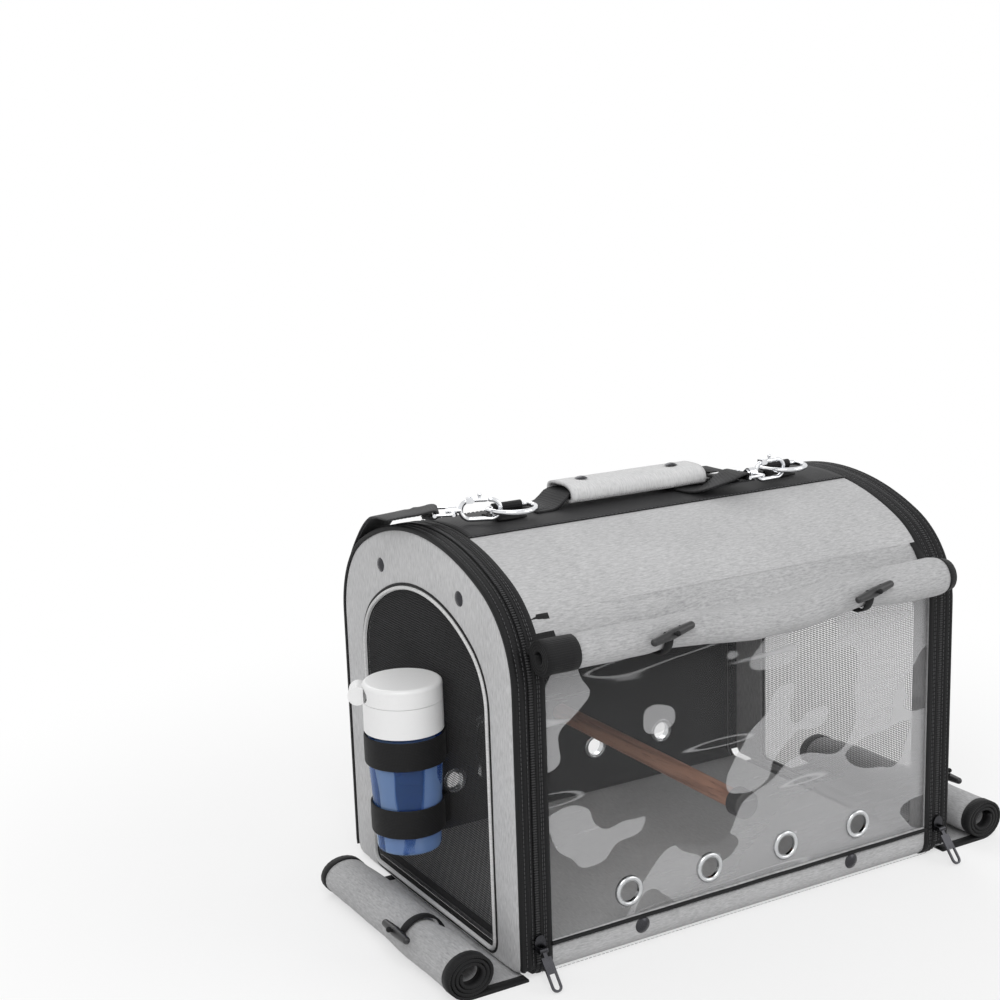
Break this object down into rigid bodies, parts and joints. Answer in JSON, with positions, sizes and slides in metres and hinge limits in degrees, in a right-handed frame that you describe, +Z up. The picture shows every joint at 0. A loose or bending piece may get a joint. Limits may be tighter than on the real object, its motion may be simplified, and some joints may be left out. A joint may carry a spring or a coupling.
{
  "type": "bird travel carrier",
  "caption": "Soft-sided bird travel carrier with an arched roof, clear window, fold-down mesh end doors, rolled covers, perch, feeding cup, water bottle, handle and shoulder strap.",
  "frame": {"origin": "centre of the carrier's base on the surface that it stands on", "axes": "+X along the carrier, from the bottle's door to the other door, -Y towards the window, +Z up"},
  "size_m": [0.5454, 0.3465, 0.324],
  "materials": {
    "grey_fabric": "heather grey woven fabric",
    "pale_fabric": "light grey woven fabric",
    "black_fabric": "black woven binding and webbing",
    "black_plastic": "moulded, satin",
    "clear_film": "clear flexible film",
    "metal": "bright plated steel",
    "dark_metal": "black coated",
    "rod_wood": "smooth hardwood dowel",
    "rubber": "soft black rubber",
    "bottle_plastic": "clear blue",
    "white_plastic": "white",
    "board": "stiff sheet"
  },
  "bodies": {
    "carrier": {"fabric_shell": "grey_fabric", "black_lining": "black_fabric", "base_board": "board", "floor_mat": "pale_fabric", "left_zip_tape": "black_fabric", "right_zip_tape": "black_fabric", "top_strip": "black_fabric", "window_film": "clear_film", "window_eyelets": "metal", "back_eyelets": "metal", "window_piping": "black_fabric", "band_studs": "dark_metal", "perch_rod": "rod_wood", "perch_cap": "rubber", "perch_screw": "metal", "cup_hanger": "metal", "front_cover_roll": "grey_fabric", "left_cover_roll": "grey_fabric", "right_cover_roll": "grey_fabric", "roll_end_trims": "black_fabric", "roll_loops": "black_fabric", "strap_tabs": "black_fabric", "handle_webbing": "black_fabric", "handle_grip": "pale_fabric", "handle_snaps": "metal", "left_hook_swivel": "metal", "right_hook_swivel": "metal", "shoulder_strap": "black_fabric"},
    "left_door": {"left_door_border": "grey_fabric", "left_door_zips": "black_fabric", "left_door_mesh": "black_fabric", "left_door_piping": "pale_fabric", "left_door_studs": "dark_metal", "bottle_loops": "black_fabric"},
    "right_door": {"right_door_border": "grey_fabric", "right_door_zips": "black_fabric", "right_door_mesh": "black_fabric", "right_door_piping": "pale_fabric", "right_door_studs": "dark_metal"},
    "bottle": {"bottle_body": "bottle_plastic"},
    "bottle_cap": {"bottle_cap": "white_plastic"},
    "bottle_lid": {"bottle_lid": "white_plastic"},
    "wing_nut": {"perch_wing_nut": "metal"},
    "cup": {"feeding_cup": "metal"},
    "front_left_toggle": {"front_left_toggle": "black_plastic"},
    "front_right_toggle": {"front_right_toggle": "black_plastic"},
    "left_toggle": {"left_toggle": "black_plastic"},
    "right_toggle": {"right_toggle": "black_plastic"},
    "left_d_ring": {"left_d_ring": "metal"},
    "right_d_ring": {"right_d_ring": "metal"},
    "left_hook": {"left_snap_hook": "metal"},
    "right_hook": {"right_snap_hook": "metal"},
    "left_gate": {"left_hook_gate": "metal"},
    "right_gate": {"right_hook_gate": "metal"},
    "left_slider": {"left_zip_slider": "dark_metal"},
    "right_slider": {"right_zip_slider": "dark_metal"},
    "left_pull": {"left_zip_pull": "dark_metal"},
    "right_pull": {"right_zip_pull": "dark_metal"}
  },
  "joints": [
    {"name": "left_door_hinge", "type": "hinge", "parent": "carrier", "child": "left_door", "pos_m": [-0.1985, 0, 0.004], "axis": [0, -1, 0], "range_deg": [0, 45]},
    {"name": "right_door_hinge", "type": "hinge", "parent": "carrier", "child": "right_door", "pos_m": [0.1985, 0, 0.004], "axis": [0, 1, 0], "range_deg": [0, 45]},
    {"name": "left_zip_slide", "type": "slide", "parent": "carrier", "child": "left_slider", "axis": [0, 0, 1], "range_m": [0, 0.15]},
    {"name": "right_zip_slide", "type": "slide", "parent": "carrier", "child": "right_slider", "axis": [0, 0, 1], "range_m": [0, 0.15]},
    {"name": "left_pull_swing", "type": "hinge", "parent": "left_slider", "child": "left_pull", "pos_m": [-0.1877, -0.1419, 0.024], "axis": [1, 0, 0], "range_deg": [-100, 36]},
    {"name": "right_pull_swing", "type": "hinge", "parent": "right_slider", "child": "right_pull", "pos_m": [0.1877, -0.1419, 0.024], "axis": [1, 0, 0], "range_deg": [-100, 36]},
    {"name": "front_left_toggle_turn", "type": "hinge", "parent": "carrier", "child": "front_left_toggle", "pos_m": [-0.091, -0.16545, 0.24169], "axis": [0, -0.9659, 0.2588], "range_deg": [-60, 60]},
    {"name": "front_right_toggle_turn", "type": "hinge", "parent": "carrier", "child": "front_right_toggle", "pos_m": [0.091, -0.16545, 0.24169], "axis": [0, -0.9659, 0.2588], "range_deg": [-60, 60]},
    {"name": "left_toggle_turn", "type": "hinge", "parent": "carrier", "child": "left_toggle", "pos_m": [-0.265, -0.068, 0.02905], "axis": [-0.866, 0, 0.5], "range_deg": [-60, 60]},
    {"name": "right_toggle_turn", "type": "hinge", "parent": "carrier", "child": "right_toggle", "pos_m": [0.265, -0.068, 0.02905], "axis": [0.866, 0, 0.5], "range_deg": [-60, 60]},
    {"name": "left_d_ring_swing", "type": "hinge", "parent": "carrier", "child": "left_d_ring", "pos_m": [-0.128, -0.008, 0.3098], "axis": [1, 0, 0], "range_deg": [-5, 5]},
    {"name": "right_d_ring_swing", "type": "hinge", "parent": "carrier", "child": "right_d_ring", "pos_m": [0.128, -0.008, 0.3098], "axis": [1, 0, 0], "range_deg": [-5, 5]},
    {"name": "left_hook_turn", "type": "hinge", "parent": "carrier", "child": "left_hook", "pos_m": [-0.146, -0.016, 0.3113], "axis": [-0.9063, 0.4226, 0], "range_deg": [-20, 20]},
    {"name": "right_hook_turn", "type": "hinge", "parent": "carrier", "child": "right_hook", "pos_m": [0.11325, -0.02632, 0.3113], "axis": [-0.9976, -0.0698, 0], "range_deg": [-20, 5]},
    {"name": "left_gate_open", "type": "hinge", "parent": "left_hook", "child": "left_gate", "pos_m": [-0.15869, -0.01008, 0.3185], "axis": [0.4226, 0.9063, 0], "range_deg": [0, 14], "stiffness_Nm_per_rad": 0.02, "springref_deg": -28.65},
    {"name": "right_gate_open", "type": "hinge", "parent": "right_hook", "child": "right_gate", "pos_m": [0.09929, -0.0273, 0.3185], "axis": [-0.0698, 0.9976, 0], "range_deg": [0, 14], "stiffness_Nm_per_rad": 0.02, "springref_deg": -28.65},
    {"name": "bottle_lift", "type": "slide", "parent": "left_door", "child": "bottle", "axis": [0, 0, 1], "range_m": [0, 0.1]},
    {"name": "bottle_cap_turn", "type": "hinge", "parent": "bottle", "child": "bottle_cap", "pos_m": [-0.232, -0.03, 0.17], "axis": [0, 0, 1], "range_deg": [-60, 120]},
    {"name": "bottle_lid_swing", "type": "hinge", "parent": "bottle_cap", "child": "bottle_lid", "pos_m": [-0.25999, -0.01449, 0.1917], "axis": [-0.4848, -0.8746, 0], "range_deg": [0, 120]},
    {"name": "cup_lift", "type": "slide", "parent": "carrier", "child": "cup", "axis": [0, 0, 1], "range_m": [0, 0.06]},
    {"name": "wing_nut_turn", "type": "hinge", "parent": "carrier", "child": "wing_nut", "pos_m": [0, 0.139, 0.084], "axis": [0, 1, 0], "continuous": true}
  ]
}
